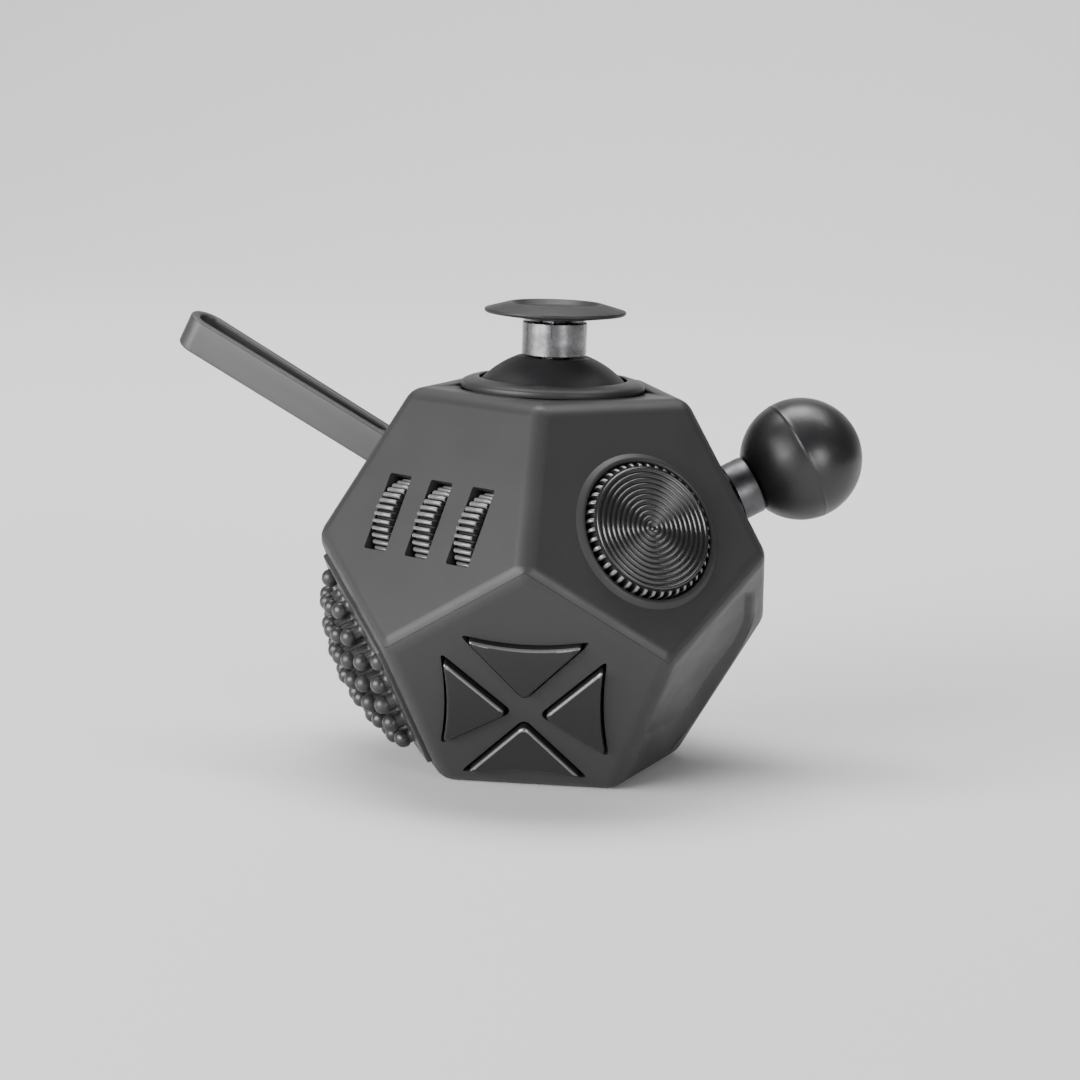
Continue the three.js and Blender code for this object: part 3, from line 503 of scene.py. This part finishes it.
# ---------------------------------------------------------------- swinging arm
def swing_arm():
    pivot, tip_at, half, wall, root_solid = -3.4, 33.3, 2.3, 1.3, 8.4

    def outline(inset, z_low, steps=20):
        """A long loop, round at both ends and a little wider at the tip."""
        points = []
        for radius, middle, start in ((2.3 - inset, z_low, math.pi), (3.0 - inset, tip_at, 0)):
            for k in range(steps + 1):
                a = start + math.pi * k / steps
                points.append((radius * math.cos(a), middle + radius * math.sin(a)))
        return points

    lean = Matrix.Rotation(math.radians(4), 4, "Y") @ Matrix.Rotation(math.pi / 2, 4, "X")
    stand = Matrix.Translation((*ARM_AT, pivot)) @ lean @ Matrix.Translation((0, -pivot, 0))
    arm = prism("arm_loop", "arm", outline(0, pivot), -half, half, stand)
    for cut in (outline(wall, pivot + root_solid), circle(1.2, 32, (0, pivot))):
        boolean(arm, prism("arm_cut", "arm", cut, -half - 1, half + 1, stand), "DIFFERENCE")
    bevel(arm, 0.35, 3)
    dress(weigh_normals(smooth(arm, 30)), "arm", "soft_touch_shell", "arm_lever", look=ARM_LOOK)


# ---------------------------------------------------------------- rocker and slider
def rocker():
    lip = prism("rocker_surround", "rocker", rectangle(-9, 9, -6.2, 6.2, 1.2), 0.3, 0.9)
    sleeve = prism("rocker_sleeve", "rocker", rectangle(-8, 8, -5.3, 5.3), -3.4, 0.5)
    window = prism("rocker_window", "rocker", rectangle(-6.5, 6.5, -4, 4, 0.4), -9, 9)
    boolean(lip, sleeve, "UNION")
    boolean(lip, window, "DIFFERENCE")
    bevel(lip, 0.15, 2)
    dress(smooth(lip, 30), "case", "gloss_black", "rocker_frame")
    side = [(-3.1, 1.9), (-3.4, -1.0), (-1.6, -3.2), (1.6, -3.2), (3.4, -1.0), (3.1, 1.9),
            (2, 1.52), (1, 1.22), (0, 1.1), (-1, 1.22), (-2, 1.52)]
    across = Matrix.Rotation(math.pi / 2, 4, "Z") @ Matrix.Rotation(math.pi / 2, 4, "X")
    key = prism("rocker_key", "rocker", side, -6.2, 6.2, across)
    pin = Matrix.Translation((0, 0, -1.2)) @ ALONG_X
    boolean(key, prism("rocker_bore", "rocker", circle(1.1, 24), -8, 8, pin), "DIFFERENCE")
    bevel(key, 0.3, 3)
    dress(smooth(key, 30), "rocker", "black_rubber", "rocker")


def slider():
    knob = prism("slider_grip", "slider", rectangle(-3.2, 3.2, -3, 3, 0.6), -0.4, 1.6)
    for x in range(-2, 3):
        outline = rectangle(x - 0.25, x + 0.25, -2.4, 2.4, 0.2)
        boolean(knob, prism("slider_ridge", "slider", outline, 1, 2.15), "UNION")
    boolean(knob, prism("slider_neck", "slider", rectangle(-2, 2, -1.2, 1.2), -4.4, 0), "UNION")
    bevel(knob, 0.12, 2)
    dress(smooth(knob, 30), "slider", "gloss_black", "slider_knob")


# ---------------------------------------------------------------- push buttons
# Each button's two outer corners, its inner corner, and how far its outer side bows inward.
BUTTONS = {
    "top": (((7.4, 8.5), (-7.5, 8.6)), (-0.3, -0.5), 0.85),
    "left": (((-10.5, 5), (-10.9, -8.4)), (-2.5, -3), 0.45),
    "bottom": (((-8, -13.3), (6.9, -13.2)), (-0.4, -4.8), 0.85),
    "right": (((10, -9), (9.8, 5)), (2.1, -3.3), 0.45),
}
BUTTON_CLEARANCE = 0.45
BUTTON_ROUND = 1.1
CLOSEST = 0.02  # outline points nearer than this are merged


def quadratic(a, control, b, steps):
    """Points on a Bezier curve with one control point."""
    return [a * (1 - t) ** 2 + control * 2 * t * (1 - t) + b * t * t
            for t in (k / steps for k in range(steps + 1))]


def button_outline(ends, apex, sag, grow, steps=8):
    """A triangle with round corners and one bowed side, every side moved out by grow."""
    a, b, c = Vector(ends[0]), Vector(ends[1]), Vector(apex)
    sides = ((b - c).length, (a - c).length, (a - b).length)
    total = sum(sides)
    middle = (a * sides[0] + b * sides[1] + c * sides[2]) / total
    area = abs((b - a).x * (c - a).y - (c - a).x * (b - a).y) / 2
    scale = 1 + grow * total / (2 * area)
    a, b, c = (middle + (p - middle) * scale for p in (a, b, c))
    centre = (a + b) / 2
    hollow = centre + (c - centre).normalized() * 2 * sag * scale
    r = BUTTON_ROUND * scale

    def towards(p, q):
        return p + (q - p).normalized() * r

    points = quadratic(towards(a, hollow), hollow, towards(b, hollow), 20)
    points += quadratic(towards(b, hollow), b, towards(b, c), steps)
    points += quadratic(towards(c, b), c, towards(c, a), steps)
    points += quadratic(towards(a, c), a, towards(a, hollow), steps)
    kept = []
    for p in points:
        if not kept or (p - kept[-1]).length > CLOSEST:
            kept.append(p)
    if (kept[0] - kept[-1]).length < CLOSEST:
        kept.pop()
    return [(p.x, p.y) for p in kept]


def push_buttons():
    levels = ((0, -3.3), (0, 0.5), (-0.03, 0.65), (-0.12, 0.78), (-0.26, 0.87), (-0.45, 0.9))
    up_slope = FACES["buttons"].to_3x3().col[1].normalized()
    for side, shape in BUTTONS.items():
        rings = [[(x, y, z) for x, y in button_outline(*shape, grow)] for grow, z in levels]
        n = len(rings[0])
        button = from_lists(f"key_{side}", *stitch(rings, False), FACES["buttons"])
        dress(weigh_normals(smooth(button, 50)), f"button_{side}", "gloss_black",
              f"button_{side}", look=BUTTON_LOOK)
        # The rounded edges that face up the slope are painted lighter and glossier: a painted
        # highlight.
        button.data.materials.append(PAINTED_EDGE_HIGHLIGHT)
        for face in button.data.polygons:
            on_bevel = n <= face.index < n * (len(rings) - 1)
            if on_bevel and face.normal.dot(up_slope) > 0.25:
                face.material_index = 1


# ---------------------------------------------------------------- nub pad, roller ball, base ring
def pentagon(inradius):
    radius = inradius / math.cos(math.pi / 5)
    angles = [math.pi / 2 + k * 2 * math.pi / 5 for k in range(5)]
    return [(radius * math.cos(a), radius * math.sin(a)) for a in angles]


def inside_pentagon(x, y, inradius):
    return all(x * math.cos(a) + y * math.sin(a) < inradius
               for a in (-math.pi / 2 + k * 2 * math.pi / 5 for k in range(5)))


NUB_BASE_TOP = 0.6


def nub_profile(radius, height):
    """A thin stalk with a fillet at its foot and a round head."""
    neck = height - 1.75
    foot = [(0, -0.4), (1.22, -0.4), (1.22, min(NUB_BASE_TOP, neck)), (1.06, min(0.72, neck)),
            (0.96, min(1, neck)), (0.95, neck)]
    head = [(radius * math.cos(a), height - radius + radius * math.sin(a))
            for a in (math.radians(-25 + 115 * k / 8) for k in range(8))]
    return [*foot, *head, (0, height)]


def nub_pad():
    """A pentagonal pad with nubs in a triangular grid, tallest in the middle."""
    pad_inradius, pitch, radius = 13, 3.7, 1.2
    pad = prism("nub_pad_base", "nubs", pentagon(pad_inradius), -1.2, NUB_BASE_TOP)
    bevel(pad, 0.25, 3)
    verts, faces = [], []
    for row in range(-4, 5):
        for column in range(-4, 5):
            x = (column + (0 if row % 2 == 0 else 0.5)) * pitch
            y = row * pitch * math.sqrt(3) / 2
            if not inside_pentagon(x, y, pad_inradius - radius - 0.3):
                continue
            height = 5.8 - 3.2 * (math.hypot(x, y) / 12) ** 2
            nub_verts, nub_faces = lathe_lists(nub_profile(radius, height), 20)
            offset = len(verts)
            verts += [(vx + x, vy + y, vz) for vx, vy, vz in nub_verts]
            faces += [[i + offset for i in f] for f in nub_faces]
    nubs = from_lists("nubs", verts, faces, FACES["nubs"])
    dress(smooth(pad, 30), "case", "grey_silicone", "nub_pad")
    dress(smooth(nubs, 45), "case", "grey_silicone")


def roller_ball():
    sphere = lathe("roller_ball_steel", "roller", ball_profile(6.5, ROLLER_CENTRE, 40), 80)
    dress(smooth(sphere, 60), "roller", "steel", "roller_ball")


def base_ring():
    profile = [(3.5, -3), (10.85, -3), (11, -2.85), (11, -0.65), (10.85, -0.5), (5.85, -0.5),
               (5.7, -0.65), (5.7, -1.5), (3.5, -1.5)]
    ring = lathe("turning_ring", "base", profile, 96)
    scoop_circle = 8.35
    for degrees in (0, 120, 240):
        a = math.radians(degrees)
        at = (scoop_circle * math.cos(a), scoop_circle * math.sin(a), 0)
        boolean(ring, lathe("scoop", "base", ball_profile(3.6, 2.1, 24), 48, at), "DIFFERENCE")
    dress(smooth(ring, 30), "base_ring", "gloss_black", "base_ring")


# ---------------------------------------------------------------- shell openings
def round_pentagon(inradius, radius, steps=10):
    """A pentagon whose corners are rounded from radius before each to radius after it."""
    points = []
    ends = [Vector(p) for p in pentagon(inradius)]
    for k, corner in enumerate(ends):
        before = corner + (ends[k - 1] - corner).normalized() * radius
        after = corner + (ends[(k + 1) % 5] - corner).normalized() * radius
        points += [(p.x, p.y) for p in quadratic(before, corner, after, steps)]
    return points


def dish_hollow():
    """The thumb dish: a shallow spherical floor inside a low wall with a soft upper edge."""
    inradius, depth, wall_height = 12.6, 1.9, 0.6
    reach, fall, steps = inradius + 1.5, depth - wall_height, 14
    sphere = (reach ** 2 + fall ** 2) / (2 * fall)
    floor = []
    for k in range(steps + 1):
        r = reach * k / steps
        floor.append((r, sphere - depth - math.sqrt(sphere ** 2 - r ** 2)))
    profile = [*floor, (reach, 1), (0, 1)]
    hollow = lathe("hollow", "dish", profile, 128, (0, DISH_DROP, 0))
    # The wall leans outward, least at the top, and rolls over into the face.
    levels = ((-3, -5), (-1.25, -2.1), (-1, -1.55), (-0.8, -1.15), (-0.55, -0.7),
              (-0.3, -0.25), (-0.12, 0.1), (-0.02, 0.4), (1.5, 3.0))
    rings = []
    for z, grow in levels:
        lift = max(0, -grow) * 0.7 + DISH_DROP
        radius = min(6, 0.6 * (inradius + grow))
        outline = round_pentagon(inradius + grow, radius)
        rings.append([(x, y + lift, z) for x, y in outline])
    wall = from_lists("wall", *stitch(rings, False), FACES["dish"])
    return boolean(hollow, wall, "INTERSECT")


def dial_lip():
    """A raised ring round the dial's hole, which is cut afterwards."""
    profile = [(8.5, -1.5), (10.3, -1.5), (10.3, -0.02), (10.22, 0.03), (9.68, 0.46), (9.55, 0.51),
               (9.38, 0.51), (9.22, 0.45), (9.0, 0.2), (8.5, 0.2)]
    return lathe("dial_lip", "dial", profile, 128, DIAL_AT)


def wheel_slots():
    slots = []
    for x in WHEEL_PLACES:
        outline = rectangle(x - 1.9, x + 1.9, DROP - 5.2, DROP + 5.2, 0.3)
        slot = prism("slot", "wheels", outline, *THROUGH)
        place = Matrix.Translation((x, DROP, WHEEL_AXLE)) @ ALONG_X
        room = prism("room", "wheels", circle(6.4, 64), -1.9, 1.9, place)
        slots.append(boolean(slot, room, "UNION"))
    return slots


def shell_work():
    """For each face, the shapes added inside the wall and those cut from it."""
    def opening(face, outline, z0=THROUGH[0]):
        return prism("opening", face, outline, z0, THROUGH[1])

    def pad(face, outline, z0, z1):
        return prism("pad", face, outline, z0, z1)

    dial_hole = [(0, THROUGH[0]), (9.1, THROUGH[0]), (9.1, THROUGH[1]), (0, THROUGH[1])]
    arm_x, arm_y = ARM_AT
    arm_slot = rectangle(arm_x - 6.1, arm_x + 6.1, arm_y - 2.65, arm_y + 2.65, 0.5)
    adds = {
        "dial": [dial_lip()],
        "dish": [pad("dish", circle(11.5, 48, (0, DISH_DROP)), -3.9, -2.0)],
        "nubs": [pad("nubs", pentagon(12.9), -3.4, -2.0)],
    }
    cuts = {
        "stick": [lathe("opening", "stick", ball_profile(13.4, JOYSTICK_PIVOT, 64), 128)],
        "ball": [opening("ball", circle(8.5, 96, (0, DROP)))],
        "wheels": wheel_slots(),
        "dial": [lathe("opening", "dial", dial_hole, 128, DIAL_AT)],
        "arm": [opening("arm", arm_slot)],
        "rocker": [opening("rocker", rectangle(-8.3, 8.3, -5.6, 5.6))],
        "buttons": [opening("buttons", button_outline(*shape, BUTTON_CLEARANCE))
                    for shape in BUTTONS.values()],
        "dish": [dish_hollow()],
        "nubs": [opening("nubs", pentagon(13.4), -1.5)],
        "slider": [opening("slider", rectangle(-7.5, 7.5, -1.6, 1.6, 0.5)),
                   opening("slider", rectangle(-9.2, 9.2, -3.5, 3.5, 1.2), -0.7)],
        "roller": [lathe("opening", "roller", ball_profile(6.9, ROLLER_CENTRE, 48), 96)],
        "base": [opening("base", circle(11.4, 96))],
    }
    return adds, cuts


# ---------------------------------------------------------------- the two half shells
def corners():
    """The dodecahedron's twenty corners, from the body's centre."""
    points = []
    for radius, first, height in ((FACE_CIRCUMRADIUS, 54, IN), (WAIST_RADIUS, 54, WAIST_HEIGHT),
                                  (WAIST_RADIUS, 18, -WAIST_HEIGHT), (FACE_CIRCUMRADIUS, 18, -IN)):
        for k in range(5):
            a = math.radians(first + 72 * k)
            points.append(Vector((radius * math.cos(a), radius * math.sin(a), height)))
    return points


def face_rim(face):
    """A face's five corners from the body's centre, anticlockwise seen from outside."""
    n = outward(face)
    rim = [c for c in corners() if n.dot(c) > IN * 0.99]
    turn = FACES[face].to_3x3()
    x, y = turn.col[0].normalized(), turn.col[1].normalized()
    return sorted(rim, key=lambda c: math.atan2(c.dot(y), c.dot(x)))


def dodecahedron(name, inradius):
    bm = bmesh.new()
    scale = inradius / IN
    places = corners()
    made = [bm.verts.new(CENTRE + c * scale) for c in places]
    for face in FACES:
        bm.faces.new([made[places.index(c)] for c in face_rim(face)])
    return new_object(name, bm)


def upper_region(drop):
    """The pyramids from the body's centre through the six upper faces, as one solid."""
    reach = 1.6
    bm = bmesh.new()
    low = Vector((0, 0, -drop))
    centre = bm.verts.new(CENTRE + low)
    known = {}

    def vertex(c):
        key = tuple(round(v * 1e5) for v in c)
        if key not in known:
            known[key] = bm.verts.new(CENTRE + c * reach + low)
        return known[key]

    edges = {}
    for face in UPPER:
        rim = [vertex(c) for c in face_rim(face)]
        bm.faces.new(rim)
        for a, b in zip(rim, rim[1:] + rim[:1]):
            key = frozenset((a, b))
            edges[key] = edges.get(key, 0) + 1
    for key, count in edges.items():
        if count == 1:
            a, b = key
            bm.faces.new((a, b, centre))
    return new_object("region", bm)


def round_edges(obj):
    step = obj.modifiers.new("round", "BEVEL")
    step.width = EDGE_RADIUS * math.tan(math.radians(EDGE_TURN) / 2)
    step.segments, step.profile = 8, 0.5
    step.limit_method = "NONE"
    return settle(obj)


def add_support_loops(obj):
    """A narrow border inside each flat, so that shading stays flat up to the rounded edge."""
    bm = bmesh.new()
    bm.from_mesh(obj.data)
    flats = [f for f in bm.faces if len(f.verts) == 5 and f.calc_area() > 100 * MM ** 2]
    bmesh.ops.inset_individual(bm, faces=flats, thickness=0.12 * MM)
    bm.to_mesh(obj.data)
    bm.free()
    return obj


def shells():
    adds, cuts = shell_work()
    halves = {"upper": UPPER, "lower": [face for face in FACES if face not in UPPER]}
    for name, body_faces in halves.items():
        shell = add_support_loops(round_edges(dodecahedron(f"{name}_half", IN)))
        boolean(shell, dodecahedron("inside", IN - WALL), "DIFFERENCE")
        if name == "upper":
            boolean(shell, upper_region(0), "INTERSECT")
        else:
            boolean(shell, upper_region(SEAM), "DIFFERENCE")
        for face in body_faces:
            for tool in adds.get(face, []):
                boolean(shell, tool, "UNION")
            for tool in cuts[face]:
                boolean(shell, tool, "DIFFERENCE")
        bevel(shell, 0.14, 2, 40)
        dress(weigh_normals(smooth(shell, 32)), "case", "soft_touch_shell", f"{name}_shell")


joystick()
ball_stick()
thumb_wheels()
grooved_dial()
swing_arm()
rocker()
slider()
push_buttons()
nub_pad()
roller_ball()
base_ring()
shells()


# ---------------------------------------------------------------- camera, floor and light
def camera():
    """The photograph's view, solved from the body's corners."""
    azimuth, elevation, roll = (math.radians(d) for d in (5.02, 10.58, 1.96))
    distance = 16.462 * EDGE
    across = math.cos(elevation)
    back = Vector((math.sin(azimuth) * across, -math.cos(azimuth) * across, math.sin(elevation)))
    level = Vector((math.cos(azimuth), math.sin(azimuth), 0))
    upright = back.cross(level)
    right = level * math.cos(roll) + upright * math.sin(roll)
    up = upright * math.cos(roll) - level * math.sin(roll)
    data = bpy.data.cameras.new("camera")
    data.sensor_width, data.lens = 36, 92.57
    data.shift_x, data.shift_y = -0.0059, 0.0322
    data.clip_start, data.clip_end = 0.01, 10
    data.dof.use_dof = False
    obj = bpy.data.objects.new("camera", data)
    scene.collection.objects.link(obj)
    turn = Matrix((right, up, back)).transposed().to_4x4()
    obj.matrix_world = Matrix.Translation(CENTRE + back * distance) @ turn
    scene.camera = obj


def area_light(name, location, target, size, power, height=None):
    data = bpy.data.lights.new(name, "AREA")
    data.shape, data.size, data.size_y, data.energy = "RECTANGLE", size, height or size, power
    obj = bpy.data.objects.new(name, data)
    scene.collection.objects.link(obj)
    obj.location = location
    obj.rotation_mode = "QUATERNION"
    obj.rotation_quaternion = (Vector(location) - Vector(target)).to_track_quat("Z", "Y")
    return obj


def sweep(depth=0.7, rise=0.6, bend=1.5, steps=24):
    """Pale floor that curves up into a backdrop, as one sheet."""
    profile = [(-3, 0), (depth, 0)]
    for k in range(1, steps + 1):
        a = math.pi / 2 * k / steps
        profile.append((depth + bend * math.sin(a), bend * (1 - math.cos(a))))
    profile.append((depth + bend, rise + bend))
    bm = bmesh.new()
    rows = [[bm.verts.new((x, y, z)) for y, z in profile] for x in (-3, 3)]
    for k in range(len(profile) - 1):
        bm.faces.new((rows[0][k], rows[1][k], rows[1][k + 1], rows[0][k + 1]))
    return smooth(new_object("floor", bm), 60)


def studio():
    floor = sweep()
    look = bpy.data.materials.new("paper")
    look.use_nodes = True
    shader = look.node_tree.nodes["Principled BSDF"]
    shader.inputs["Base Color"].default_value = (0.74, 0.74, 0.74, 1)
    shader.inputs["Roughness"].default_value = 0.9
    floor.data.materials.append(look)
    world = bpy.data.worlds.new("studio")
    scene.world = world
    world.use_nodes = True
    background = world.node_tree.nodes["Background"]
    background.inputs["Color"].default_value = (1, 1, 1, 1)
    background.inputs["Strength"].default_value = 0.06
    target = (0, 0, IN)
    area_light("key", (-0.57, -0.50, 0.24), target, 0.70, 14.0, 0.42)
    area_light("side", (0.49, -0.61, 0.19), target, 0.26, 3.0)
    area_light("top", (-0.05, 0.20, 0.75), target, 0.40, 2.0)
    area_light("backdrop", (0.0, 0.5, 1.2), (0, 1.4, 0.2), 1.2, 30.0)


camera()
studio()
